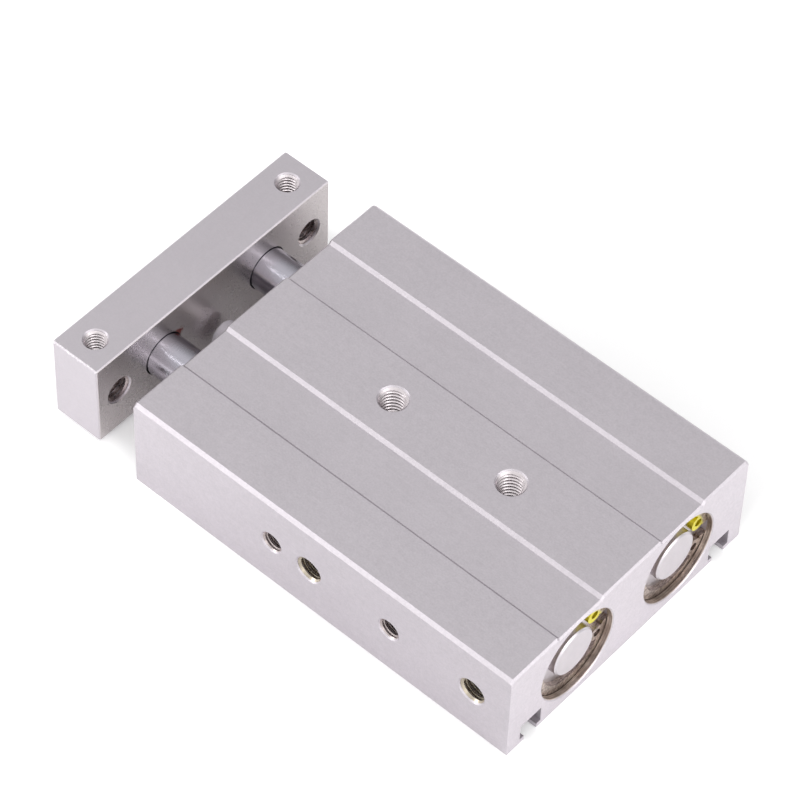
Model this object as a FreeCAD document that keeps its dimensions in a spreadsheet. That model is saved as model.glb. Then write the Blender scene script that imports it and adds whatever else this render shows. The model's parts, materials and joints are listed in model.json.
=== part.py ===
"""Guided pneumatic cylinder: two parallel bores in one flat housing, two rods, one end plate.

Millimetres. +X is the way the rods come out, +Y is the side with the air ports, +Z is up.
The origin lies on the housing's underside, midway between its two mounting holes. Left is +Y.
Each piece is drawn in its own frame, with x = 0 at the housing's front face and x < 0 inside it,
and its Placement takes it to the assembly. Moving pieces are drawn with the plate on the stop.
"""
import FreeCAD, Part
import os
import re

import Sketcher

DRIVING_SIZES = {
    # housing: its length follows from the stroke and what the bores hold
    "stroke": 20.0,
    "body_width": 58.0,
    "body_height": 20.0,
    "edge_chamfer": 0.6,
    "end_chamfer": 0.35,
    "strip_width": 11.0,          # sunk strip over each bore
    "strip_depth": 0.6,
    "rod_pitch": 25.0,
    "axis_height": 10.0,
    "bore_dia": 16.0,
    "seat_dia": 17.2,
    "front_seat": 35.5,
    "rear_seat": 5.4,
    "snap_groove_depth": 0.4,
    "snap_groove_width": 1.1,
    "snap_groove_inset": 1.2,
    # sensor slots in the underside
    "slot_inset": 5.6,            # housing side to the middle of a slot
    "slot_mouth": 3.0,
    "slot_width": 5.0,
    "slot_lip": 1.0,
    "slot_depth": 4.5,
    # tapped holes, ports and passages
    "large_thread": 5.0,
    "small_thread": 4.0,
    "mouth_chamfer": 0.25,
    "hole_setback": 30.0,
    "hole_pitch": 25.0,
    "side_hole_depth": 6.0,
    "counterbore_dia": 8.0,
    "counterbore_depth": 4.4,
    "front_port_inset": 2.5,
    "rear_port_inset": 2.35,
    "port_depth": 5.5,
    "passage_dia": 3.0,
    # covers, bushes, seals and cushions
    "cover_fit": 0.05,
    "rod_clearance": 0.3,
    "rod_fit": 0.05,
    "neck_dia": 12.0,
    "front_neck": 4.5,
    "rear_neck": 3.4,
    "cushion_thickness": 1.5,
    "cushion_spigot_dia": 5.8,
    "boss_dia": 9.2,
    "boss_recess": 0.7,
    "boss_chamfer": 0.3,
    "bush_dia": 11.0,
    "bush_length": 25.0,
    "bush_chamfer": 0.4,
    "seal_pocket_dia": 14.0,
    "retainer_thickness": 1.0,
    "rod_seal_thickness": 3.0,
    "seal_lip": 0.8,
    "ring_section": 1.08,         # an O-ring's section as squeezed in its groove
    "ring_groove_width": 1.5,
    "front_ring_inset": 4.0,
    "rear_ring_inset": 0.8,
    # retaining rings
    "snap_thickness": 1.0,
    "snap_width": 1.9,
    "snap_offset": 0.3,
    "lug_dia": 3.2,
    "lug_hole_dia": 1.5,
    "lug_inset": 3.05,            # groove bottom to the lug hole's centre
    "lug_spread": 6.0,
    "lug_gap": 2.9,
    # rods and pistons
    "rod_dia": 8.0,
    "rod_chamfer": 0.5,
    "spigot_dia": 5.0,
    "end_play": 0.1,
    "piston_length": 11.0,
    "piston_clearance": 0.1,
    "piston_chamfer": 0.3,
    "seal_clearance": 0.05,
    "wear_setback": 1.0,
    "wear_width": 2.0,
    "wear_depth": 0.6,
    "seal_setback": 4.0,
    "seal_width": 2.6,
    "seal_depth": 1.7,
    "magnet_setback": 7.6,
    "magnet_width": 2.4,
    "magnet_depth": 1.3,
    "nut_across": 8.0,
    "nut_thickness": 2.7,
    "nut_pocket_dia": 10.0,
    "nut_pocket_depth": 3.2,
    # end plate and its two screws
    "plate_width": 56.0,
    "plate_height": 18.0,
    "plate_thickness": 10.0,
    "plate_chamfer": 0.25,
    "plate_hole_inset": 5.0,
    "socket_depth": 2.5,
    "socket_clearance": 0.2,
    "head_dia": 8.5,
    "head_height": 5.0,
    "head_clearance": 0.25,
    "head_sink": 0.2,
    "head_chamfer": 0.4,
    "key_across": 4.0,
    "key_depth": 2.5,
    "screw_reach": 12.0,
    "drill_reserve": 1.5,
    "thread_clearance": 0.05,
    # stop between the rods
    "stop_height": 5.0,
    "stop_dia": 5.5,
    "stop_reach": 8.0,
    "stop_stud": 10.0,
    "pad_thickness": 1.5,
    "pad_stem_dia": 2.4,
    "pad_stem": 3.0,
    "pad_chamfer": 0.3,
    # how far the plate stands off the stop in the assembly as drawn
    "shown_extension": 1.26,
}

doc = FreeCAD.newDocument("guided_cylinder")
sheet = doc.addObject("Spreadsheet::Sheet", "Sizes")
for row, (alias, number) in enumerate(DRIVING_SIZES.items(), start=1):
    sheet.set(f"A{row}", alias.replace("_", " "))
    sheet.set(f"B{row}", str(number))
    sheet.setAlias(f"B{row}", alias)
doc.recompute()

# Places and sizes that several pieces share, as expressions on the sheet
FRONT_X = "(hole_setback + hole_pitch / 2)"
SEAT_RADIUS = "(seat_dia / 2)"
COVER_RADIUS = "(seat_dia / 2 - cover_fit)"
ROD_RADIUS = "(rod_dia / 2)"
NECK_RADIUS = "(neck_dia / 2)"
GROOVE_FAR = "(snap_groove_inset + snap_groove_width)"
FRONT_STOP = "(-front_seat - front_neck)"
REAR_STOP = f"({FRONT_STOP} - piston_length - stroke - 2 * end_play)"
HEAD_SHOULDER = f"({REAR_STOP} - rear_neck)"
REAR_FACE = f"({HEAD_SHOULDER} - rear_seat)"
HEAD_REAR = f"({REAR_FACE} + {GROOVE_FAR})"
SEAL_FRONT = f"(-{GROOVE_FAR} - retainer_thickness)"
BUSH_FRONT = f"({SEAL_FRONT} - rod_seal_thickness)"
PISTON_REAR = f"({REAR_STOP} + end_play / 2)"
PISTON_FRONT = f"({PISTON_REAR} + piston_length)"
NUT_SEAT = f"({PISTON_REAR} + nut_pocket_depth)"
ROD_FRONT = "(stop_reach + socket_depth)"
PLATE_FRONT = "(stop_reach + plate_thickness)"
SCREW_SEAT = f"({PLATE_FRONT} - head_height - head_sink)"
MOVING_X = f"({FRONT_X} + shown_extension)"

SIDES = {"left": "rod_pitch / 2", "right": "-rod_pitch / 2"}
REAR_RING_TURN = {"left": 80, "right": 95}   # degrees about X, from opening upwards
subparts = []


def on_sheet(text):
    """Put the sheet's name before every alias in an expression."""
    return re.sub(r"[a-z_]+", lambda m: "Sizes." + m.group() if m.group() in DRIVING_SIZES else m.group(), text)


def value(text):
    """The number that an expression on the sheet gives now."""
    return float(sheet.evalExpression(on_sheet(text)))


def origin_part(body, role):
    """One of a body's own origin planes or axes."""
    return [feature for feature in body.Origin.OriginFeatures if feature.Role == role][0]


def place(piece, label, x=FRONT_X, y="0", z="axis_height", rotation=None):
    """Name a finished piece and bind its place in the assembly."""
    piece.Label = label
    if rotation:
        piece.Placement = FreeCAD.Placement(FreeCAD.Vector(), rotation)
    for axis, text in zip("xyz", (x, y, z)):
        piece.setExpression(f"Placement.Base.{axis}", on_sheet(text))
    subparts.append(piece)


def draw(body, name, plane, corners, at=("0", "0", "0")):
    """Closed outline on one of the body's planes, every corner bound to the sheet."""
    sketch = body.newObject("Sketcher::SketchObject", name)
    sketch.AttachmentSupport = (origin_part(body, plane), "")
    sketch.MapMode = "FlatFace"
    for axis, text in zip("xyz", at):
        if text != "0":
            sketch.setExpression(f"AttachmentOffset.Base.{axis}", on_sheet(text))
    spots = [FreeCAD.Vector(value(u), value(v), 0) for u, v in corners]
    count = len(spots)
    sketch.addGeometry([Part.LineSegment(spots[i], spots[(i + 1) % count]) for i in range(count)])
    sketch.addConstraint([Sketcher.Constraint("Coincident", i, 2, (i + 1) % count, 1) for i in range(count)])
    for i, corner in enumerate(corners):
        for kind, axis_line, text in zip(("DistanceX", "DistanceY"), (-2, -1), corner):
            if text == "0":
                sketch.addConstraint(Sketcher.Constraint("PointOnObject", i, 1, axis_line))
            else:
                held = sketch.addConstraint(Sketcher.Constraint(kind, -1, 1, i, 1, value(text)))
                sketch.setExpression(f"Constraints[{held}]", on_sheet(text))
    return sketch


def turn(body, name, corners, plane="XY_Plane", at=("0", "0", "0"), axis="H_Axis", cut=False):
    """Revolve an outline about an axis of its sketch, as a solid or as a cut."""
    sketch = draw(body, name + "_profile", plane, corners, at)
    feature = body.newObject("PartDesign::Groove" if cut else "PartDesign::Revolution", name)
    feature.Profile = sketch
    feature.ReferenceAxis = (sketch, [axis])
    feature.Angle = 360
    body.Tip = feature
    return feature


def repeat(body, name, cut, pitch):
    """A second copy of a cut, one pitch further back."""
    pair = body.newObject("PartDesign::LinearPattern", name)
    pair.Originals = [cut]
    pair.Direction = (origin_part(body, "X_Axis"), [""])
    pair.Reversed = True
    pair.Occurrences = 2
    pair.setExpression("Length", on_sheet(pitch))
    body.Tip = pair


def mirror(body, name, cut):
    """The same cut on the other side of the middle plane."""
    other = body.newObject("PartDesign::Mirrored", name)
    other.Originals = [cut]
    other.MirrorPlane = (origin_part(body, "XZ_Plane"), [""])
    body.Tip = other


def chamfer_edges(body, name, base, edges, size):
    """Chamfer the edges of the base feature that the test lets through."""
    doc.recompute()
    feature = body.newObject("PartDesign::Chamfer", name)
    feature.Base = (base, [f"Edge{n}" for n, edge in enumerate(base.Shape.Edges, start=1) if edges(edge.BoundBox)])
    feature.setExpression("Size", on_sheet(size))
    body.Tip = feature


def turned_piece(label, corners, x=FRONT_X, y="0", z="axis_height"):
    """A piece that is one profile revolved about its own X axis, as (x, radius) corners."""
    body = doc.addObject("PartDesign::Body", label)
    turn(body, label + "_turned", corners)
    place(body, label, x, y, z)


def grooved(groove_front, width, depth, radius):
    """Four corners that sink a ring groove into a turned outside, going towards the rear."""
    groove_rear = f"{groove_front} - {width}"
    floor = f"{radius} - {depth}"
    return [(groove_front, radius), (groove_front, floor), (groove_rear, floor), (groove_rear, radius)]


def sleeve(front, rear, inner, outer):
    """Profile of a plain ring."""
    return [(front, inner), (front, outer), (rear, outer), (rear, inner)]


def stepped_hole(steps, face):
    """Half-profile of a hole from its bottom up to a face, with a chamfered mouth.

    steps are (diameter, height of the step's bottom), deepest first; the corners are (radius, height).
    """
    corners = [("0", steps[0][1])]
    for (dia, bottom), (next_dia, top) in zip(steps, steps[1:] + [(None, f"{face} - mouth_chamfer")]):
        corners += [(f"{dia} / 2", bottom), (f"{dia} / 2", top)]
    corners += [(f"{steps[-1][0]} / 2 + 2 * mouth_chamfer", f"{face} + mouth_chamfer"),
                ("0", f"{face} + mouth_chamfer")]
    return corners


def build_housing():
    """Extruded bar with stepped bores, ring grooves, mounting holes, ports and passages."""
    body = doc.addObject("PartDesign::Body", "housing")
    side, top = "body_width / 2", "body_height"
    inner, outer = "(rod_pitch - strip_width) / 2", "(rod_pitch + strip_width) / 2"
    slot = f"({side} - slot_inset)"
    half_section = [
        (f"{slot} - slot_mouth / 2", "0"), (f"{slot} - slot_mouth / 2", "slot_lip"),
        (f"{slot} - slot_width / 2", "slot_lip"), (f"{slot} - slot_width / 2", "slot_depth"),
        (f"{slot} + slot_width / 2", "slot_depth"), (f"{slot} + slot_width / 2", "slot_lip"),
        (f"{slot} + slot_mouth / 2", "slot_lip"), (f"{slot} + slot_mouth / 2", "0"),
        (side, "0"), (side, f"{top} - edge_chamfer"), (f"{side} - edge_chamfer", top),
        (outer, top), (f"{outer} - strip_depth", f"{top} - strip_depth"),
        (f"{inner} + strip_depth", f"{top} - strip_depth"), (inner, top),
    ]
    other_half = [(f"-({y})", z) for y, z in reversed(half_section)]
    bar = body.newObject("PartDesign::Pad", "bar")
    bar.Profile = draw(body, "section", "YZ_Plane", half_section + other_half)
    bar.Reversed = True
    bar.setExpression("Length", on_sheet(f"-{REAR_FACE}"))
    end_faces, above_slots = (0.0, value(REAR_FACE)), value("slot_depth")
    chamfer_edges(body, "end_chamfers", bar, lambda box: box.ZMin > above_slots and box.XLength < 1e-4
                  and min(abs(box.XMin - x) for x in end_faces) < 1e-4, "end_chamfer")

    bore_radius = "bore_dia / 2"
    groove = ("snap_groove_width", "-snap_groove_depth", SEAT_RADIUS)
    bore = turn(body, "bore", [
        ("mouth_chamfer", "0"), ("mouth_chamfer", f"{SEAT_RADIUS} + 2 * mouth_chamfer"),
        ("-mouth_chamfer", SEAT_RADIUS)] + grooved("-snap_groove_inset", *groove) + [
        ("-front_seat", SEAT_RADIUS), ("-front_seat", bore_radius),
        (HEAD_SHOULDER, bore_radius), (HEAD_SHOULDER, SEAT_RADIUS)] + grooved(HEAD_REAR, *groove) + [
        (f"{REAR_FACE} + mouth_chamfer", SEAT_RADIUS),
        (f"{REAR_FACE} - mouth_chamfer", f"{SEAT_RADIUS} + 2 * mouth_chamfer"),
        (f"{REAR_FACE} - mouth_chamfer", "0"),
    ], at=("0", "rod_pitch / 2", "axis_height"), cut=True)
    mirror(body, "other_bore", bore)

    mounting_hole = turn(body, "mounting_hole", stepped_hole(
        [("counterbore_dia", "-mouth_chamfer"), ("large_thread", "counterbore_depth")], top),
        plane="XZ_Plane", at=("-hole_setback", "0", "0"), axis="V_Axis", cut=True)
    repeat(body, "mounting_holes", mounting_hole, "hole_pitch")

    side_hole = stepped_hole([("small_thread", f"{side} - side_hole_depth")], side)
    port_side = turn(body, "port_side_hole", side_hole,
                     at=("-hole_setback", "0", "axis_height"), axis="V_Axis", cut=True)
    repeat(body, "port_side_holes", port_side, "hole_pitch")
    plain_side = turn(body, "plain_side_hole", [(radius, f"-({y})") for radius, y in side_hole],
                      at=("-hole_setback", "0", "axis_height"), axis="V_Axis", cut=True)
    repeat(body, "plain_side_holes", plain_side, "hole_pitch")

    port = turn(body, "port", stepped_hole(
        [("passage_dia", "-rod_pitch / 2"), ("large_thread", f"{side} - port_depth")], side),
        at=("-front_seat - front_port_inset", "0", "axis_height"), axis="V_Axis", cut=True)
    repeat(body, "ports", port, f"-front_seat - front_port_inset - ({HEAD_SHOULDER} + rear_port_inset)")

    turn(body, "stop_hole", [(x, radius) for radius, x in stepped_hole(
        [("small_thread", "-stop_stud - drill_reserve")], "0 * stop_stud")],
        at=("0", "0", "stop_height"), cut=True)
    place(body, "housing", z="0")


def build_end_plate():
    """Flat plate with a stepped hole for each rod, and tapped holes near its ends."""
    body = doc.addObject("PartDesign::Body", "end_plate")
    half_width, half_height = "plate_width / 2", "plate_height / 2"
    slab = body.newObject("PartDesign::Pad", "slab")
    slab.Profile = draw(body, "plate_outline", "YZ_Plane", [
        (half_width, half_height), (f"-{half_width}", half_height),
        (f"-{half_width}", f"-{half_height}"), (half_width, f"-{half_height}")], at=("0", "0", "stop_reach"))
    slab.setExpression("Length", on_sheet("plate_thickness"))
    chamfer_edges(body, "plate_edges", slab, lambda box: True, "plate_chamfer")

    socket, pocket = "(rod_dia / 2 + socket_clearance)", "(head_dia / 2 + head_clearance)"
    shank = "(spigot_dia / 2 + head_clearance)"
    rod_hole = turn(body, "rod_hole", [
        ("stop_reach - mouth_chamfer", "0"), ("stop_reach - mouth_chamfer", socket), (ROD_FRONT, socket),
        (ROD_FRONT, shank), (SCREW_SEAT, shank), (SCREW_SEAT, pocket),
        (f"{PLATE_FRONT} + mouth_chamfer", pocket), (f"{PLATE_FRONT} + mouth_chamfer", "0"),
    ], at=("0", "rod_pitch / 2", "0"), cut=True)
    mirror(body, "other_rod_hole", rod_hole)

    hole_y = f"{half_width} - plate_hole_inset"
    for name, dia, low, high, plane, axis, at in (
            ("face_hole", "large_thread", "stop_reach", PLATE_FRONT, "XY_Plane", "H_Axis", ("0", hole_y, "0")),
            ("edge_hole", "small_thread", f"-{half_height}", half_height, "XZ_Plane", "V_Axis",
             ("stop_reach + plate_thickness / 2", "0", f"-({hole_y})"))):
        flare, radius = f"{dia} / 2 + 2 * mouth_chamfer", f"{dia} / 2"
        along = [(f"{low} - mouth_chamfer", "0"), (f"{low} - mouth_chamfer", flare),
                 (f"{low} + mouth_chamfer", radius), (f"{high} - mouth_chamfer", radius),
                 (f"{high} + mouth_chamfer", flare), (f"{high} + mouth_chamfer", "0")]
        corners = along if axis == "H_Axis" else [(out, up) for up, out in along]
        hole = turn(body, name, corners, plane=plane, at=at, axis=axis, cut=True)
        mirror(body, "other_" + name, hole)
    place(body, "end_plate", x=MOVING_X)


def build_retaining_ring(label, x, y, turned):
    """Internal retaining ring: eccentric open ring with two drilled lugs, opening turned about X."""
    outer_radius = "(seat_dia / 2 + snap_groove_depth - cover_fit)"
    lug_centre = f"({outer_radius} - lug_inset)"

    def disc(name, radius, along="0", across="0"):
        part = doc.addObject("Part::Cylinder", f"{label}_{name}")
        part.setExpression("Radius", on_sheet(radius))
        part.setExpression("Height", on_sheet("snap_thickness"))
        part.setExpression("Placement.Base.x", on_sheet(along))
        part.setExpression("Placement.Base.y", on_sheet(across))
        return part

    def combine(kind, name, shapes):
        part = doc.addObject(f"Part::{kind}", f"{label}_{name}")
        if kind == "Cut":
            part.Base, part.Tool = shapes
        else:
            part.Shapes = shapes
        return part

    band = combine("Cut", "band", (disc("rim", outer_radius),
                                   disc("hollow", f"{outer_radius} - snap_width", "snap_offset")))
    lugs = [disc(f"lug_{n}", "lug_dia / 2", lug_centre, f"{sign}lug_spread / 2")
            for n, sign in enumerate(("", "-"))]
    plain = combine("MultiFuse", "plain", [band] + lugs)
    trimmed = combine("MultiCommon", "trimmed", [plain, disc("limit", outer_radius)])
    gap = doc.addObject("Part::Box", f"{label}_gap")
    for size, text in (("Length", "seat_dia"), ("Width", "lug_gap"), ("Height", "snap_thickness")):
        gap.setExpression(size, on_sheet(text))
    gap.setExpression("Placement.Base.y", on_sheet("-lug_gap / 2"))
    holes = [disc(f"eye_{n}", "lug_hole_dia / 2", lug_centre, f"{sign}lug_spread / 2")
             for n, sign in enumerate(("", "-"))]
    ring = combine("Cut", "ring", (trimmed, combine("MultiFuse", "voids", [gap] + holes)))
    flat_to_axis = FreeCAD.Rotation(FreeCAD.Vector(0, 1, 0), -90)
    opening = FreeCAD.Rotation(FreeCAD.Vector(1, 0, 0), turned)
    place(ring, label, x=f"{FRONT_X} + {x}", y=y, rotation=opening.multiply(flat_to_axis))


def build_fixed_pieces(side, y):
    """What one bore of the housing holds."""
    inner = "(rod_dia / 2 + rod_clearance)"
    pocket = "(seal_pocket_dia / 2)"
    wipe = f"({ROD_RADIUS} + rod_fit)"
    ring_groove = ("ring_groove_width", "ring_section + cover_fit", COVER_RADIUS)
    turned_piece(f"rod_cover_{side}", [
        (f"-{GROOVE_FAR}", pocket), (f"-{GROOVE_FAR}", COVER_RADIUS)] + grooved(
        "-front_seat + front_ring_inset + ring_groove_width", *ring_groove) + [
        ("-front_seat", COVER_RADIUS), ("-front_seat", NECK_RADIUS),
        (f"{FRONT_STOP} + cushion_thickness", NECK_RADIUS), (f"{FRONT_STOP} + cushion_thickness", inner),
        (f"{BUSH_FRONT} - bush_length", inner), (f"{BUSH_FRONT} - bush_length", "bush_dia / 2"),
        (BUSH_FRONT, "bush_dia / 2"), (BUSH_FRONT, pocket)], y=y)
    bush_rear = f"({BUSH_FRONT} - bush_length)"
    turned_piece(f"guide_bush_{side}", [
        (BUSH_FRONT, wipe), (BUSH_FRONT, "bush_dia / 2 - bush_chamfer"),
        (f"{BUSH_FRONT} - bush_chamfer", "bush_dia / 2"), (f"{bush_rear} + bush_chamfer", "bush_dia / 2"),
        (bush_rear, "bush_dia / 2 - bush_chamfer"), (bush_rear, wipe)], y=y)
    turned_piece(f"seal_retainer_{side}", sleeve(f"-{GROOVE_FAR}", SEAL_FRONT, inner, pocket), y=y)
    notch = f"{SEAL_FRONT} - rod_seal_thickness / 2"
    turned_piece(f"rod_seal_{side}", [
        (SEAL_FRONT, inner), (SEAL_FRONT, pocket), (BUSH_FRONT, pocket), (BUSH_FRONT, f"{pocket} - seal_lip"),
        (notch, f"({pocket} + {ROD_RADIUS}) / 2"), (BUSH_FRONT, f"{wipe} + seal_lip"), (BUSH_FRONT, wipe),
        (notch, wipe)], y=y)
    turned_piece(f"rod_cushion_{side}", sleeve(
        f"{FRONT_STOP} + cushion_thickness", FRONT_STOP, inner, NECK_RADIUS), y=y)

    spigot = "(cushion_spigot_dia / 2)"
    turned_piece(f"head_cover_{side}", [
        (f"{REAR_FACE} + boss_recess", "0"), (f"{REAR_STOP} - cushion_thickness / 3", "0"),
        (f"{REAR_STOP} - cushion_thickness / 3", spigot), (f"{REAR_STOP} - cushion_thickness", spigot),
        (f"{REAR_STOP} - cushion_thickness", NECK_RADIUS),
        (HEAD_SHOULDER, NECK_RADIUS), (HEAD_SHOULDER, COVER_RADIUS)] + grooved(
        f"{HEAD_SHOULDER} - rear_ring_inset", *ring_groove) + [
        (HEAD_REAR, COVER_RADIUS), (HEAD_REAR, "boss_dia / 2"),
        (f"{REAR_FACE} + boss_recess + boss_chamfer", "boss_dia / 2"),
        (f"{REAR_FACE} + boss_recess", "boss_dia / 2 - boss_chamfer")], y=y)
    turned_piece(f"head_cushion_{side}", sleeve(
        REAR_STOP, f"{REAR_STOP} - cushion_thickness", f"{spigot} + cover_fit", NECK_RADIUS), y=y)

    for label, groove_front in (
            (f"rod_cover_o_ring_{side}", "-front_seat + front_ring_inset + ring_groove_width"),
            (f"head_cover_o_ring_{side}", f"{HEAD_SHOULDER} - rear_ring_inset")):
        middle, half = f"{groove_front} - ring_groove_width / 2", "ring_section / 2"
        turned_piece(label, [
            (f"{middle} + {half}", f"{SEAT_RADIUS} - {half}"), (f"{middle} + {half} / 2", SEAT_RADIUS),
            (f"{middle} - {half} / 2", SEAT_RADIUS), (f"{middle} - {half}", f"{SEAT_RADIUS} - {half}"),
            (f"{middle} - {half} / 2", f"{SEAT_RADIUS} - ring_section"),
            (f"{middle} + {half} / 2", f"{SEAT_RADIUS} - ring_section")], y=y)


def build_moving_pieces(side, y):
    """One rod with its piston and the screw that holds it to the end plate."""
    def moving(name, corners):
        turned_piece(f"{name}_{side}", corners, x=MOVING_X, y=y)

    spigot = "(spigot_dia / 2)"
    hole_end = f"({SCREW_SEAT} - screw_reach - drill_reserve)"
    tail = f"({NUT_SEAT} - nut_thickness - rod_chamfer / 2)"
    moving("rod", [
        (ROD_FRONT, spigot), (ROD_FRONT, f"{ROD_RADIUS} - rod_chamfer"),
        (f"{ROD_FRONT} - rod_chamfer", ROD_RADIUS), (PISTON_FRONT, ROD_RADIUS), (PISTON_FRONT, spigot),
        (tail, spigot), (tail, "0"), (hole_end, "0"), (hole_end, spigot)])

    outside = "(bore_dia / 2 - piston_clearance)"
    seal_reach = "(bore_dia / 2 - seal_clearance)"
    grooves = {name: (f"{PISTON_FRONT} - {name}_setback", f"{name}_width", f"{name}_depth")
               for name in ("wear", "seal", "magnet")}
    corners = [(PISTON_FRONT, f"{spigot} + thread_clearance"), (PISTON_FRONT, f"{outside} - piston_chamfer"),
               (f"{PISTON_FRONT} - piston_chamfer", outside)]
    for front, width, depth in grooves.values():
        corners += grooved(front, width, depth, outside)
    corners += [(f"{PISTON_REAR} + piston_chamfer", outside), (PISTON_REAR, f"{outside} - piston_chamfer"),
                (PISTON_REAR, "nut_pocket_dia / 2"), (NUT_SEAT, "nut_pocket_dia / 2"),
                (NUT_SEAT, f"{spigot} + thread_clearance")]
    moving("piston", corners)
    for name, groove, reach in (("wear_ring", "wear", seal_reach), ("magnet", "magnet", outside)):
        front, width, depth = grooves[groove]
        moving(name, sleeve(front, f"{front} - {width}", f"{outside} - {depth}", reach))
    front, width, depth = grooves["seal"]
    floor, shoulder = f"{outside} - {depth}", f"{outside} - {depth} / 2"
    moving("piston_seal", [
        (front, floor), (front, shoulder), (f"{front} - {width} / 3", shoulder),
        (f"{front} - {width} / 3", seal_reach), (f"{front} - 2 * {width} / 3", seal_reach),
        (f"{front} - 2 * {width} / 3", shoulder), (f"{front} - {width}", shoulder), (f"{front} - {width}", floor)])

    along_x = FreeCAD.Rotation(FreeCAD.Vector(0, 1, 0), 90)
    hexagon = doc.addObject("Part::Prism", f"nut_hexagon_{side}")
    hexagon.Polygon = 6
    hexagon.setExpression("Circumradius", on_sheet("nut_across / sqrt(3)"))
    hexagon.setExpression("Height", on_sheet("nut_thickness"))
    thread = doc.addObject("Part::Cylinder", f"nut_thread_{side}")
    thread.setExpression("Radius", on_sheet(f"{spigot} + thread_clearance"))
    thread.setExpression("Height", on_sheet("nut_thickness"))
    nut = doc.addObject("Part::Cut", f"nut_{side}")
    nut.Base, nut.Tool = hexagon, thread
    place(nut, f"piston_nut_{side}", x=f"{MOVING_X} + {NUT_SEAT} - nut_thickness", y=y, rotation=along_x)

    label = f"plate_screw_{side}"
    screw = doc.addObject("PartDesign::Body", label)
    shank = f"{spigot} - thread_clearance"
    head_top = f"({SCREW_SEAT} + head_height)"
    turn(screw, f"{label}_turned", [
        (f"{SCREW_SEAT} - screw_reach", "0"), (f"{SCREW_SEAT} - screw_reach", f"{shank} - rod_chamfer"),
        (f"{SCREW_SEAT} - screw_reach + rod_chamfer", shank), (SCREW_SEAT, shank), (SCREW_SEAT, "head_dia / 2"),
        (f"{head_top} - head_chamfer", "head_dia / 2"), (head_top, "head_dia / 2 - head_chamfer"), (head_top, "0")])
    flat, point = "key_across / 2", "key_across / sqrt(3)"
    key = screw.newObject("PartDesign::Pocket", f"{label}_key")
    key.Profile = draw(screw, f"{label}_hexagon", "YZ_Plane", [
        ("0", point), (flat, f"{point} / 2"), (flat, f"-{point} / 2"),
        ("0", f"-{point}"), (f"-{flat}", f"-{point} / 2"), (f"-{flat}", f"{point} / 2")], at=("0", "0", head_top))
    key.setExpression("Length", on_sheet("key_depth"))
    screw.Tip = key
    place(screw, label, x=MOVING_X, y=y)


def build_stop():
    """Screwed-in stop with a resilient pad, low in the wall between the bores."""
    radius, stem = "stop_dia / 2", "pad_stem_dia / 2"
    collar_end = "(stop_reach - pad_thickness)"
    stud = "small_thread / 2 - thread_clearance"
    turned_piece("stop_pin", [
        ("-stop_stud", "0"), ("-stop_stud", stud), ("0", stud), ("0", radius), (collar_end, radius),
        (collar_end, f"{stem} + thread_clearance"),
        (f"{collar_end} - pad_stem - thread_clearance", f"{stem} + thread_clearance"),
        (f"{collar_end} - pad_stem - thread_clearance", "0")], z="stop_height")
    turned_piece("stop_pad", [
        (f"{collar_end} - pad_stem", "0"), (f"{collar_end} - pad_stem", stem), (collar_end, stem),
        (collar_end, radius), ("stop_reach - pad_chamfer", radius), ("stop_reach", f"{radius} - pad_chamfer"),
        ("stop_reach", "0")], z="stop_height")


build_housing()
build_end_plate()
build_stop()
for side, y in SIDES.items():
    build_fixed_pieces(side, y)
    build_moving_pieces(side, y)
    # the front rings open upwards, the rear ones towards -Y
    build_retaining_ring(f"front_retaining_ring_{side}", "-snap_groove_inset", y, 0)
    build_retaining_ring(f"rear_retaining_ring_{side}", f"{HEAD_REAR}", y, REAR_RING_TURN[side])
doc.recompute()

failed = [o.Name for o in doc.Objects if "Invalid" in o.State or "Error" in o.State]
failed += [p.Label for p in subparts if p.Shape.isNull() or not p.Shape.isValid() or len(p.Shape.Solids) != 1]
if failed:
    raise RuntimeError("failed: " + ", ".join(failed))

os.makedirs("parts", exist_ok=True)
for piece in subparts:
    piece.Shape.exportStep(f"parts/{piece.Label}.step")
print(len(subparts), "sub-parts written")
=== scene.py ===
import json
import math

import bpy
from mathutils import Matrix, Vector


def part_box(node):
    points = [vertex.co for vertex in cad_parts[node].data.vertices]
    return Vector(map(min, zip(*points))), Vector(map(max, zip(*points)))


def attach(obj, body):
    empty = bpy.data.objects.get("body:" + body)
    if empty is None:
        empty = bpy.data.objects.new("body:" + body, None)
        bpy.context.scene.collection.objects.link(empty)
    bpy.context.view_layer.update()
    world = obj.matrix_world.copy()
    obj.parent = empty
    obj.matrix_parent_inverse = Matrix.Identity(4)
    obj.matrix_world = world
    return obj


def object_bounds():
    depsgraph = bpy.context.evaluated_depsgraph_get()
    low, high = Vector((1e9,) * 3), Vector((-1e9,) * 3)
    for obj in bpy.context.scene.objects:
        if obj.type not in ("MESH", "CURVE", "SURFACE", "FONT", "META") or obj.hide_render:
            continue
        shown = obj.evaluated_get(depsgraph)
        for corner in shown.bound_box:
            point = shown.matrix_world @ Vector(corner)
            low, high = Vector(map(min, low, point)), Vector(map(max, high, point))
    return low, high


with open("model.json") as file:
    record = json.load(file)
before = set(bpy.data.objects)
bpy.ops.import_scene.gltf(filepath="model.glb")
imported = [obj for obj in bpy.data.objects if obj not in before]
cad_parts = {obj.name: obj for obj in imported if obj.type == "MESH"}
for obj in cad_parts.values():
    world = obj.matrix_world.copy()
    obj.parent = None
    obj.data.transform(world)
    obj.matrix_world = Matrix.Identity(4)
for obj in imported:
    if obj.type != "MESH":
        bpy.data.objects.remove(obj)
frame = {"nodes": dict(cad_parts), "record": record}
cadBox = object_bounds()
nodes = frame["nodes"]
mounts = {m["name"]: m for m in frame["record"]["mounts"]}
mm = 0.001
print("frame loaded:", len(nodes), "nodes")


def deselectAll():
    bpy.ops.object.select_all(action="DESELECT")


def makeActive(piece):
    deselectAll()
    piece.select_set(True)
    bpy.context.view_layer.objects.active = piece


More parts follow.
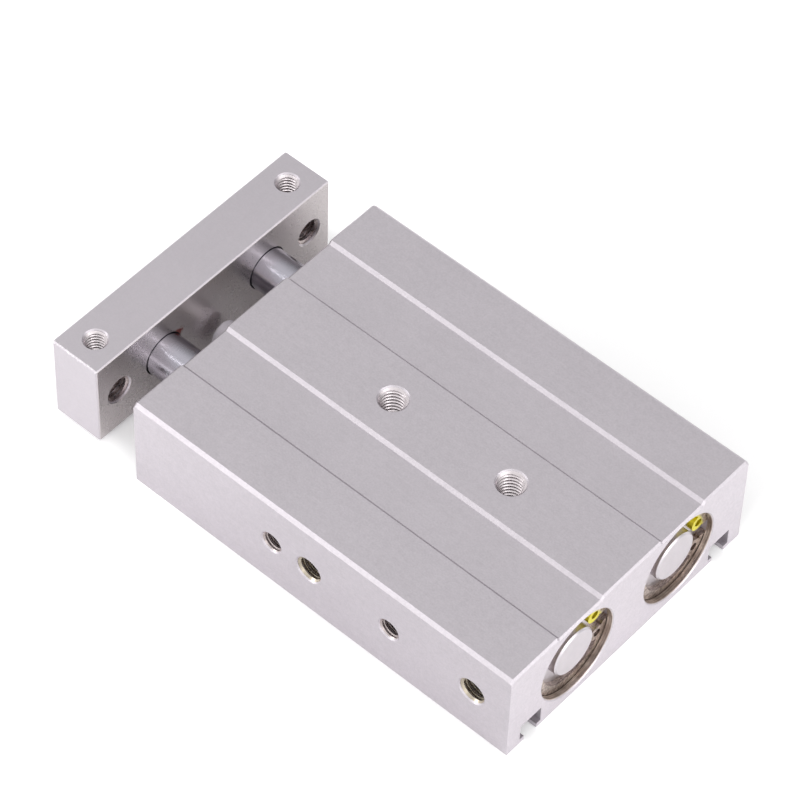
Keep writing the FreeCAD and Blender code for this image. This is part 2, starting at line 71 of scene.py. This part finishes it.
def selectWhere(piece, kind, test):
    # in edit mode: selects just the faces (polygons) or points (vertices) that pass the test
    bpy.ops.mesh.select_all(action="DESELECT")
    bpy.ops.object.mode_set(mode="OBJECT")
    for element in getattr(piece.data, kind):
        element.select = test(element)
    bpy.ops.object.mode_set(mode="EDIT")


def applyModifier(piece, kind, **settings):
    makeActive(piece)
    modifier = piece.modifiers.new(kind.title(), kind)
    for key, value in settings.items():
        setattr(modifier, key, value)
    bpy.ops.object.modifier_apply(modifier=modifier.name)


def settle(piece, name, finish, body, smoothAngle):
    # takes the place into the mesh, shades it, and hands it to the frame
    makeActive(piece)
    bpy.ops.object.transform_apply(location=True, rotation=True, scale=True)
    bpy.ops.object.shade_smooth_by_angle(angle=math.radians(smoothAngle))
    piece.name = name
    piece.data.name = name
    piece.data.materials.clear()
    piece.data.materials.append(finish)
    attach(piece, body)
    return piece


class Flow:
    # a socket in a material; arithmetic on it adds Math nodes
    def __init__(self, tree, socket=None):
        self.tree = tree
        self.socket = socket

    def make(self, kind, settings=None, inputs=None, output=0):
        made = self.tree.nodes.new("ShaderNode" + kind)
        for key, value in (settings or {}).items():
            setattr(made, key, value)
        for key, value in (inputs or {}).items():
            if isinstance(value, Flow):
                self.tree.links.new(value.socket, made.inputs[key])
            else:
                made.inputs[key].default_value = value
        return Flow(self.tree, made.outputs[output])

    def maths(self, operation, *values):
        return self.make("Math", {"operation": operation}, dict(enumerate(values)))

    def __add__(self, other):
        return self.maths("ADD", self, other)

    def __sub__(self, other):
        return self.maths("SUBTRACT", self, other)

    def __rsub__(self, other):
        return self.maths("SUBTRACT", other, self)

    def __mul__(self, other):
        return self.maths("MULTIPLY", self, other)

    def __pow__(self, other):
        return self.maths("POWER", self, other)

    __radd__ = __add__
    __rmul__ = __mul__

    def least(self, other):
        return self.maths("MINIMUM", self, other)

    def most(self, other):
        return self.maths("MAXIMUM", self, other)

    def size(self):
        return self.maths("ABSOLUTE", self)

    def step(self, low, high):
        # 0 below low and 1 above high, smooth between them
        return self.make("MapRange", {"interpolation_type": "SMOOTHSTEP"},
                         {"Value": self, "From Min": low, "From Max": high})

    def mix(self, first, second):
        # first where this is 0, second where it is 1; colours or shares of them
        return self.make("Mix", {"data_type": "RGBA"}, {"Factor": self, "A": first, "B": second}, "Result")


class Finish(Flow):
    # a material with its Principled shader; the spots and patterns read the object's own coordinates
    def __init__(self, name, **constants):
        self.material = bpy.data.materials.new(name)
        self.material.use_nodes = True
        super().__init__(self.material.node_tree)
        self.shader = self.tree.nodes["Principled BSDF"]
        for key, value in constants.items():
            self.shader.inputs[key.replace("_", " ")].default_value = value
        self.place = self.make("TexCoord", output="Object")
        split = self.make("SeparateXYZ", inputs={0: self.place})
        self.x, self.y, self.z = (Flow(self.tree, s) for s in split.socket.node.outputs)

    def feed(self, **values):
        for key, value in values.items():
            self.tree.links.new(value.socket, self.shader.inputs[key.replace("_", " ")])
        return self.material

    def noise(self, spacing, detail=2.0, stretch=(1, 1, 1), roughness=0.5):
        # values round 0.5 whose lumps are about spacing millimetres apart
        scale = [share / (spacing * mm) for share in stretch]
        grid = self.make("Mapping", inputs={"Vector": self.place, "Scale": scale})
        return self.make("TexNoise", inputs={"Vector": grid, "Scale": 1.0, "Detail": detail,
                                             "Roughness": roughness})

    def shade(self, colour, value):
        # a colour made lighter or darker, 1 leaves it as it is
        return self.make("HueSaturation", inputs={"Color": colour, "Value": value})

    def bump(self, height, depth):
        # height from 0 to 1 is depth millimetres high
        return self.make("Bump", inputs={"Strength": 1.0, "Distance": depth * mm, "Height": height})

    def away(self, axis, point):
        # distance in metres from a line along X, Y or Z through a point
        offsets = zip("xyz", (self.x, self.y, self.z), point)
        squares = [(value - p) * (value - p) for name, value, p in offsets if name != axis]
        return (squares[0] + squares[1]) ** 0.5


housingLow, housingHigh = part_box("housing")
plateLow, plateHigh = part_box("end_plate")
rodLow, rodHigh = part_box("rod_left")
rodY, rodZ = (rodLow.y + rodHigh.y) / 2, (rodLow.z + rodHigh.z) / 2

anodised = {
    "colour": (0.656, 0.614, 0.654, 1), "metal": 0.88, "roughness": 0.44,
    # millimetres between lumps, and how far each pattern changes the tone
    "grain": 0.34, "grainTone": 0.22, "grainRough": 0.12, "grainDepth": 0.014,
    "mottle": 1.1, "mottleTone": 0.12,
    "streak": 0.5, "streakTone": 0.06,
    "cloud": 11.0, "cloudTone": 0.06, "cloudRough": 0.05,
    "pit": 1.6, "pitTone": 0.4, "pitFrom": 0.72, "pitTo": 0.75,
}


def anodisedAluminium(name, along, coarseness):
    # satin aluminium: fine grain, faint streaks along one axis, a few small pits
    a = anodised
    f = Finish(name, Metallic=a["metal"])
    grain = f.noise(a["grain"], 2)
    mottle = f.noise(a["mottle"], 3)
    streaks = f.noise(a["streak"], 2, along)
    clouds = f.noise(a["cloud"], 2)
    pits = f.noise(a["pit"], 4, roughness=0.75).step(a["pitFrom"], a["pitTo"])
    uneven = (grain - 0.5) * a["grainTone"] + (mottle - 0.5) * a["mottleTone"]
    uneven = uneven + (streaks - 0.5) * a["streakTone"]
    value = uneven * coarseness + (clouds - 0.5) * a["cloudTone"] - pits * a["pitTone"] + 1.0
    rough = (grain - 0.5) * a["grainRough"] + (clouds - 0.5) * a["cloudRough"] + a["roughness"]
    return f, f.shade(a["colour"], value), rough, grain - pits


# bands are in millimetres, inwards from a face or corner
housingFace = {"streaksAlong": (0.03, 1, 1), "coarseness": 1.0, "endPaintedLight": 0.08, "edgePaintedHighlight": 0.10,
               "endBand": (0.03, 0.01), "edgeBand": (0.68, 0.62)}
bareBore = {"inside": 8.62, "outside": 8.72, "dark": (0.40, 0.33, 0.29, 1), "pale": (0.58, 0.51, 0.46, 1),
            "line": 0.22, "lineTone": 2.4, "stain": 2.4, "smoother": 0.14}


def nearestAxis(f):
    # distance in metres from the nearer of the two bores' axes
    return f.away("x", (0, rodY, rodZ)).least(f.away("x", (0, -rodY, rodZ)))


def housingFinish():
    h, b = housingFace, bareBore
    f, colour, rough, relief = anodisedAluminium("anodisedHousing", h["streaksAlong"], h["coarseness"])
    # painted light: the end faces are painted a little lighter than the long faces, and a painted highlight
    # runs along the long top edges
    middle, half = (housingLow.x + housingHigh.x) / 2, (housingHigh.x - housingLow.x) / 2
    ends = (f.x - middle).size().step(*(half - inset * mm for inset in h["endBand"]))
    corner = f.y.size() + f.z - housingHigh.y - housingHigh.z
    paintedHighlightEdges = corner.step(*(-inset * mm for inset in h["edgeBand"]))
    colour = f.shade(colour, ends * h["endPaintedLight"] + paintedHighlightEdges * h["edgePaintedHighlight"] + 1.0)
    # the bores' ends are bare: turned lines run round them
    inBore = 1 - nearestAxis(f).step(b["inside"] * mm, b["outside"] * mm)
    lines = f.noise(b["line"], 3, (1, 0.04, 0.04), 0.7)
    tone = f.noise(b["stain"], 2).step(0.35, 0.65).mix(b["dark"], b["pale"])
    bore = f.shade(tone, (lines - 0.5) * b["lineTone"] + 1.0)
    return f.feed(Base_Color=inBore.mix(colour, bore), Roughness=rough - inBore * b["smoother"],
                  Normal=f.bump(relief, anodised["grainDepth"]))


plateFace = {"streaksAlong": (1, 0.05, 1), "coarseness": 0.5, "rearBand": (0.02, 0.12), "rearSmoother": 0.15,
             "rearFlatter": 0.85, "rearTint": (1.0, 0.985, 0.93, 1)}
stain = {"at": (0, 9.0 * mm, 12.3 * mm), "size": 1.3, "solid": 0.35, "ragged": 1.6, "lump": 0.7,
         "strength": 0.9, "colour": (0.30, 0.020, 0.012, 1)}
chips = {"from": 0.2, "reach": 0.65, "spacing": 0.45, "crowding": 0.10, "chipFrom": 0.62, "chipTo": 0.68,
         "strength": 0.6, "colour": (0.90, 0.87, 0.89, 1)}


def plateFinish():
    p = plateFace
    f, colour, rough, relief = anodisedAluminium("anodisedPlate", p["streaksAlong"], p["coarseness"])
    # the face towards the housing is smoother, with a trace of thread lock over one rod's seam
    rear = 1 - f.x.step(*(plateLow.x + depth * mm for depth in p["rearBand"]))
    edge = (f.noise(stain["lump"], 2) - 0.5) * stain["ragged"] * mm + f.away("x", stain["at"])
    spill = rear * (1 - edge.step(stain["size"] * stain["solid"] * mm, stain["size"] * mm))
    # the coat is chipped along the left top edge
    nearEdge = f.away("x", (0, plateHigh.y, plateHigh.z))
    nearEdge = 1 - nearEdge.step(chips["from"] * mm, chips["reach"] * mm)
    chipped = f.noise(chips["spacing"], 3) + nearEdge * chips["crowding"]
    chipped = chipped.step(chips["chipFrom"], chips["chipTo"]) * nearEdge.step(0.05, 0.2)
    tinted = f.make("Mix", {"data_type": "RGBA", "blend_type": "MULTIPLY"},
                    {"Factor": rear, "A": colour, "B": p["rearTint"]}, "Result")
    stained = (spill * stain["strength"]).mix(tinted, stain["colour"])
    return f.feed(Base_Color=(chipped * chips["strength"]).mix(stained, chips["colour"]),
                  Roughness=rough - rear * p["rearSmoother"],
                  Normal=f.bump(relief * (1 - rear * p["rearFlatter"]), anodised["grainDepth"]))


chrome = {"colour": (0.46, 0.446, 0.50, 1), "roughness": 0.08, "line": 0.06, "lineDepth": 0.020,
          "cloud": 1.4, "cloudTone": 0.10, "cloudRough": 0.04}


def chromeFinish():
    # ground and plated: lines run round the rod and spread the shine along it
    c = chrome
    f = Finish("hardChrome", Metallic=1.0)
    lines = f.noise(c["line"], 2, (1, 0.02, 0.02))
    cloud = f.noise(c["cloud"], 2)
    return f.feed(Base_Color=f.shade(c["colour"], (cloud - 0.5) * c["cloudTone"] + 1.0),
                  Roughness=(cloud - 0.5) * c["cloudRough"] + c["roughness"],
                  Normal=f.bump(lines, c["lineDepth"]))


turned = {"line": 0.12, "lineTone": 0.08, "lineDepth": 0.004, "cloud": 1.5, "cloudTone": 0.16,
          "cloudRough": 0.12}


def turnedMetal(name, colour, roughness):
    t = turned
    f = Finish(name, Metallic=1.0)
    lathe = f.noise(t["line"], 2, (0.4, 1, 1))
    cloud = f.noise(t["cloud"], 2)
    value = (cloud - 0.5) * t["cloudTone"] + (lathe - 0.5) * t["lineTone"] + 1
    return f.feed(Base_Color=f.shade(colour, value), Roughness=(cloud - 0.5) * t["cloudRough"] + roughness,
                  Normal=f.bump(lathe, t["lineDepth"]))


plating = {
    "dullDark": (0.23, 0.175, 0.15, 1), "dullPale": (0.70, 0.60, 0.54, 1),
    "yellowDeep": (0.66, 0.58, 0.015, 1), "yellowBright": (0.98, 0.90, 0.09, 1),
    "roughness": 0.30, "wear": 1.1, "wearRough": 0.15, "line": 0.2, "lineDepth": 0.004,
    # millimetres: across from a bore's axis, outwards from it, and up from the base
    "lugSide": (-3.4, -1.4), "lugReach": (7.1, 7.9), "lugHeight": (9.6, 11.4), "ragged": 2.0,
    "elsewhere": 0.08,
}


def ringPlating():
    # yellow chromate, bright on the upper lugs where light falls and a dull brown elsewhere: partly worn
    # plating, partly painted light and painted shade
    p = plating
    f = Finish("yellowPlating", Metallic=1.0)
    worn = f.noise(p["wear"], 3)
    lines = f.noise(p["line"], 3, (1, 0.3, 0.3), 0.7)
    across = f.y - f.maths("SIGN", f.y) * rodY
    nearLugs = 1 - across.step(*(side * mm for side in p["lugSide"]))
    nearLugs = nearLugs * (1 - nearestAxis(f).step(*(reach * mm for reach in p["lugReach"])))
    high = ((worn - 0.5) * p["ragged"] * mm + f.z).step(*(height * mm for height in p["lugHeight"]))
    dullAndShaded = lines.step(0.3, 0.7).mix(p["dullDark"], p["dullPale"])
    bright = worn.mix(p["yellowDeep"], p["yellowBright"])
    # the bright yellow is kept to the lit upper part of the lugs, partly the plating's colour and partly
    # painted light; the rest gets the dull brown as painted shade
    freshAndLit = high * (nearLugs * (1 - p["elsewhere"]) + p["elsewhere"])
    return f.feed(Base_Color=freshAndLit.mix(dullAndShaded, bright),
                  Roughness=(worn - 0.5) * p["wearRough"] + p["roughness"],
                  Normal=f.bump(lines, p["lineDepth"]))


moulding = {"grain": 0.25, "grainTone": 0.2, "grainRough": 0.2, "grainDepth": 0.01}


def moulded(name, colour, roughness):
    m = moulding
    f = Finish(name)
    grain = f.noise(m["grain"], 2)
    return f.feed(Base_Color=f.shade(colour, (grain - 0.5) * m["grainTone"] + 1),
                  Roughness=(grain - 0.5) * m["grainRough"] + roughness,
                  Normal=f.bump(grain, m["grainDepth"]))


finishes = {
    "anodised_housing": housingFinish(),
    "anodised_plate": plateFinish(),
    "hard_chrome": chromeFinish(),
    "cover_aluminium": turnedMetal("turnedCover", (0.69, 0.65, 0.68, 1), 0.36),
    "piston_aluminium": turnedMetal("turnedPiston", (0.62, 0.62, 0.64, 1), 0.3),
    "screw_steel": turnedMetal("zincScrew", (0.46, 0.46, 0.48, 1), 0.3),
    "stop_steel": turnedMetal("turnedStop", (0.60, 0.58, 0.60, 1), 0.36),
    "plated_spring_steel": ringPlating(),
    "bronze": turnedMetal("sinteredBronze", (0.50, 0.36, 0.18, 1), 0.42),
    "rubber": moulded("blackRubber", (0.03, 0.03, 0.03, 1), 0.6),
    "polyurethane": moulded("amberPad", (0.55, 0.42, 0.18, 1), 0.4),
    "wear_plastic": moulded("wearPlastic", (0.06, 0.055, 0.055, 1), 0.5),
    "magnet_rubber": moulded("magnetRubber", (0.07, 0.06, 0.055, 1), 0.55),
    "stop_plastic": moulded("stopPlastic", (0.72, 0.68, 0.74, 1), 0.42),
}
for part in frame["record"]["subparts"]:
    nodes[part["node"]].material_slots[0].material = finishes[part["material_slot"]]
print("finishes on the frame:", len(finishes))


cutMetal = {"roughness": 0.28, "cloud": 0.6, "cloudTone": 0.3, "cloudRough": 0.2}


def threadMetal(name, colour):
    c = cutMetal
    f = Finish(name, Metallic=1.0)
    cloud = f.noise(c["cloud"], 2)
    return f.feed(Base_Color=f.shade(colour, (cloud - 0.5) * c["cloudTone"] + 1.0),
                  Roughness=(cloud - 0.5) * c["cloudRough"] + c["roughness"])


threadFinishes = {"clean": threadMetal("threadClean", (0.76, 0.70, 0.72, 1)),
                  "side": threadMetal("threadSide", (0.55, 0.48, 0.47, 1)),
                  "port": threadMetal("threadPort", (0.53, 0.47, 0.38, 1))}
# base, crest and depth are shares of the pitch, the cone is a share of the radius;
# sink, into the wall, mouth and weld are in millimetres
threadShape = {"stepsPerTurn": 40, "baseShare": 0.86, "crestShare": 0.22, "depthShare": 0.5, "weld": 0.001,
               "sink": 0.03, "mouth": 0.25, "coneShare": 0.98, "roundSides": 64, "smoothAngle": 35}


def cutThread(name, radius, pitch, length, mouths, crossing):
    # a helical ridge standing inwards from a hole's wall; the mouth is at z = 0 and the hole goes down.
    # mouths says which ends are chamfered, crossing the radius and depth of a hole that cuts through
    s = threadShape
    turns = math.ceil(length / pitch) + 2
    outer, inner = radius + s["sink"], radius - s["depthShare"] * pitch
    middle = Vector(((inner + outer) / 2, 0, -length - pitch)) * mm
    deselectAll()
    bpy.ops.mesh.primitive_plane_add(size=1, location=middle, rotation=(math.pi / 2, 0, 0))
    ridge = bpy.context.object
    ridge.scale = ((outer - inner) * mm, s["baseShare"] * pitch * mm, 1)
    bpy.ops.object.transform_apply(location=True, rotation=True, scale=True)
    bpy.ops.object.mode_set(mode="EDIT")
    selectWhere(ridge, "vertices", lambda point: point.co.x < middle.x)
    bpy.ops.transform.resize(value=(1, 1, s["crestShare"] / s["baseShare"]), center_override=middle)
    bpy.ops.object.mode_set(mode="OBJECT")
    applyModifier(ridge, "SCREW", angle=2 * math.pi, screw_offset=pitch * mm, iterations=turns, axis="Z",
                  steps=s["stepsPerTurn"], render_steps=s["stepsPerTurn"], use_merge_vertices=False)
    bpy.ops.object.mode_set(mode="EDIT")
    bpy.ops.mesh.select_all(action="SELECT")
    bpy.ops.mesh.remove_doubles(threshold=s["weld"] * mm)
    bpy.ops.mesh.select_all(action="SELECT")
    bpy.ops.mesh.fill_holes(sides=4)
    bpy.ops.mesh.select_all(action="SELECT")
    bpy.ops.mesh.normals_make_consistent(inside=False)
    bpy.ops.object.mode_set(mode="OBJECT")

    deselectAll()
    bpy.ops.mesh.primitive_cylinder_add(vertices=s["roundSides"], radius=(outer + s["sink"]) * mm,
                                        depth=length * mm, location=(0, 0, -length * mm / 2))
    room = bpy.context.object
    bpy.ops.object.transform_apply(location=True)
    bpy.ops.object.mode_set(mode="EDIT")
    for upward, chamfered in zip((1, -1), mouths):
        if not chamfered:
            continue
        selectWhere(room, "polygons", lambda face: face.normal.z * upward > 0.9)
        bpy.ops.transform.translate(value=(0, 0, -upward * (s["mouth"] - 2 * s["sink"]) * mm))
        bpy.ops.mesh.inset(thickness=outer * s["coneShare"] * mm)
        bpy.ops.transform.translate(value=(0, 0, -upward * outer * s["coneShare"] * mm))
    bpy.ops.object.mode_set(mode="OBJECT")
    applyModifier(ridge, "BOOLEAN", operation="INTERSECT", object=room, solver="EXACT")
    bpy.data.objects.remove(room)
    if crossing:
        crossRadius, crossDepth = crossing
        deselectAll()
        bpy.ops.mesh.primitive_cylinder_add(vertices=s["roundSides"], radius=crossRadius * mm,
                                            depth=4 * radius * mm, location=(0, 0, -crossDepth * mm),
                                            rotation=(0, math.pi / 2, 0))
        bore = bpy.context.object
        applyModifier(ridge, "BOOLEAN", operation="DIFFERENCE", object=bore, solver="EXACT")
        bpy.data.objects.remove(bore)
    ridge.name = name
    return ridge


def holePlaces(mount):
    # the centres of a mount's holes, and its axis
    m = mounts[mount]
    axis, middle, dims = Vector(m["axis"]), Vector(m["pos_m"]), m["dims"]
    across = [v for v in (Vector((1, 0, 0)), Vector((0, 1, 0)), Vector((0, 0, 1))) if abs(v.dot(axis)) < 0.5]
    for key, direction in zip(("spacing_x_mm", "spacing_y_mm"), across):
        if key in dims:
            half = direction * dims[key] * mm / 2
            return [middle + half, middle - half], axis
    return [middle], axis


def placeThread(pattern, name, centre, axis, finish, body):
    copy = pattern.copy()
    copy.data = pattern.data.copy()
    bpy.context.scene.collection.objects.link(copy)
    turn = Vector((0, 0, 1)).rotation_difference(axis).to_matrix().to_4x4()
    copy.data.transform(Matrix.Translation(centre) @ turn)
    return settle(copy, name, finish, body, threadShape["smoothAngle"])


housingBody, plateBody = "housing_assembly", "plate_and_rods"
threads = {
    "topThread": {"mount": "body_bolts_top", "radius": 2.5, "pitch": 0.8, "length": 15.6,
                  "body": housingBody},
    "leftThread": {"mount": "side_bolts_left", "radius": 2.0, "pitch": 0.7, "length": 6.0,
                   "body": housingBody, "finish": "side"},
    "rightThread": {"mount": "side_bolts_right", "radius": 2.0, "pitch": 0.7, "length": 6.0,
                    "body": housingBody, "finish": "side"},
    "frontPortThread": {"mount": "port_front", "radius": 2.5, "pitch": 0.8, "length": 5.5,
                        "body": housingBody, "finish": "port"},
    "rearPortThread": {"mount": "port_rear", "radius": 2.5, "pitch": 0.8, "length": 5.5,
                       "body": housingBody, "finish": "port"},
    "plateFaceThread": {"mount": "plate_bolts_front", "radius": 2.5, "pitch": 0.8, "length": 10.0,
                        "body": plateBody, "finish": "side", "mouths": (True, True), "crossing": (2.05, 5.0)},
    "plateEdgeThread": {"mount": "plate_bolts_top", "radius": 2.0, "pitch": 0.7, "length": 18.0,
                        "body": plateBody, "mouths": (True, True), "crossing": (2.55, 9.0)},
}
for name, t in threads.items():
    pattern = cutThread(name + "Pattern", t["radius"], t["pitch"], t["length"],
                        t.get("mouths", (True, False)), t.get("crossing"))
    centres, axis = holePlaces(t["mount"])
    for number, centre in enumerate(centres, start=1):
        if "port" in t["mount"]:
            centre = Vector((centre.x, housingHigh.y, centre.z))
        finish = threadFinishes[t.get("finish", "clean")]
        placeThread(pattern, f"{name}{number}", centre, axis, finish, t["body"])
    bpy.data.objects.remove(pattern)
print("threads cut:", len(threads))


studio = {"floorSize": 3.0, "floorColour": (0.86, 0.86, 0.86, 1), "floorRoughness": 0.9, "floorGap": 0.02,
          "fill": 0.05, "focus": 3}
# how bright the paper's glow is at each place, painted lighter round the object and painted dark as a shadow
# in the gap, and how soft the borders are in millimetres
paperGlow = {"rear": 0.24, "plate": 0.28, "gap": 0.05, "seen": 0.20, "rearSoft": 3, "plateSoft": 8,
             "frontSoft": 5, "leftSoft": 4, "rightSoft": (8, 2)}
# sides of the room: the way to each and how bright it is
walls = {"ceiling": ((0, 0, 1), 0.92), "left": ((0, 1, 0.25), 0.89), "right": ((0, -1, 0.25), 0.12),
         "front": ((1, 0, 0.25), 0.86), "rear": ((-1, 0, 0.25), 1.52)}

floorZ = cadBox[0].z - studio["floorGap"] * mm
deselectAll()
bpy.ops.mesh.primitive_plane_add(size=studio["floorSize"], location=(0, 0, floorZ))
floor = bpy.context.object
bpy.ops.object.transform_apply(location=True)
floor.name = "floor"
paper = Finish("floorPaper", Roughness=studio["floorRoughness"], Base_Color=studio["floorColour"])


def whoLooks(flow, *kinds):
    # 1 for the kinds of ray that are named
    path = flow.make("LightPath").socket.node.outputs
    first, *others = [Flow(flow.tree, path[f"Is {kind} Ray"]) for kind in kinds]
    for other in others:
        first = first.most(other)
    return first


# the paper's glow is painted: pools of painted light behind the housing and round the plate, and a painted
# shadow between the two
g = paperGlow
paintedLightBehind = 1 - paper.x.step(housingLow.x - g["rearSoft"] * mm, housingLow.x + g["rearSoft"] * mm)
paintedLightAhead = paper.x.step(housingLow.x / 2, plateHigh.x) ** 2
# between the housing and the plate the glow drops to a painted shadow
between = 1 - paper.x.step(plateHigh.x, plateHigh.x + g["plateSoft"] * mm)
between = between * paper.x.step(housingHigh.x - g["frontSoft"] * mm, housingHigh.x)
between = between * (1 - paper.y.step(plateHigh.y - g["leftSoft"] * mm, plateHigh.y))
between = between * paper.y.step(*(plateLow.y - soft * mm for soft in g["rightSoft"]))
paintedLightPools = paintedLightBehind * g["rear"] + paintedLightAhead * g["plate"]
glowWithPaintedShadow = paintedLightPools * (1 - between) + between * g["gap"]
lit = glowWithPaintedShadow * whoLooks(paper, "Camera", "Glossy", "Transmission") + whoLooks(paper, "Camera") * g["seen"]
paper.shader.inputs["Emission Strength"].default_value = 1.0
paper.feed(Emission_Color=lit.mix((0, 0, 0, 1), (1, 1, 1, 1)))
floor.data.materials.append(paper.material)

world = bpy.data.worlds.new("studio")
world.use_nodes = True
bpy.context.scene.world = world
room = Flow(world.node_tree)
heading = room.make("SeparateXYZ", inputs={0: room.make("TexCoord", output="Generated")}).socket.node.outputs
level = studio["fill"]
for way, brightness in walls.values():
    facing = sum(Flow(room.tree, part) * share for part, share in zip(heading, Vector(way).normalized()))
    level = facing.most(0) ** studio["focus"] * brightness + level
seen = whoLooks(room, "Camera")
background = world.node_tree.nodes["Background"]
background.inputs["Color"].default_value = (1, 1, 1, 1)
strength = level * (1 - seen) + seen
room.tree.links.new(strength.socket, background.inputs["Strength"])

lamps = {
    "rearLamp": {"from": (-0.95, -0.10, 0.16), "size": (0.8, 0.25), "power": 1.8},
    "frontLamp": {"from": (0.75, 0.80, 0.20), "size": (0.6, 0.3), "power": 2.2},
    "stripLamp": {"from": (-0.10, 0.17, 0.98), "size": (1.6, 0.08), "power": 1.2},
    "lowLamp": {"from": (-0.30, 0.95, 0.12), "size": (1.6, 0.30), "power": 1.35},
}
middle = (cadBox[0] + cadBox[1]) / 2
for name, l in lamps.items():
    lamp = bpy.data.lights.new(name, "AREA")
    lamp.shape = "RECTANGLE"
    lamp.size, lamp.size_y = l["size"]
    lamp.energy = l["power"]
    holder = bpy.data.objects.new(name, lamp)
    holder.location = middle + Vector(l["from"])
    holder.rotation_euler = (-Vector(l["from"])).to_track_quat("-Z", "Y").to_euler()
    bpy.context.scene.collection.objects.link(holder)

view = {"azimuth": 220.007, "elevation": 51.831, "roll": 2.045, "distance": 0.673369,
        "target": (0.016576, -0.006510, 0.010), "lens": 185.183, "sensor": 36}
camera = bpy.data.objects.new("camera", bpy.data.cameras.new("camera"))
camera.data.lens = view["lens"]
camera.data.sensor_width = view["sensor"]
camera.matrix_world = (Matrix.Translation(view["target"])
                       @ Matrix.Rotation(math.radians(view["azimuth"]), 4, "Z")
                       @ Matrix.Rotation(math.radians(90 - view["elevation"]), 4, "X")
                       @ Matrix.Rotation(math.radians(view["roll"]), 4, "Z")
                       @ Matrix.Translation((0, 0, view["distance"])))
bpy.context.scene.collection.objects.link(camera)
bpy.context.scene.camera = camera
bpy.context.scene.view_settings.view_transform = "Standard"
print("studio set")
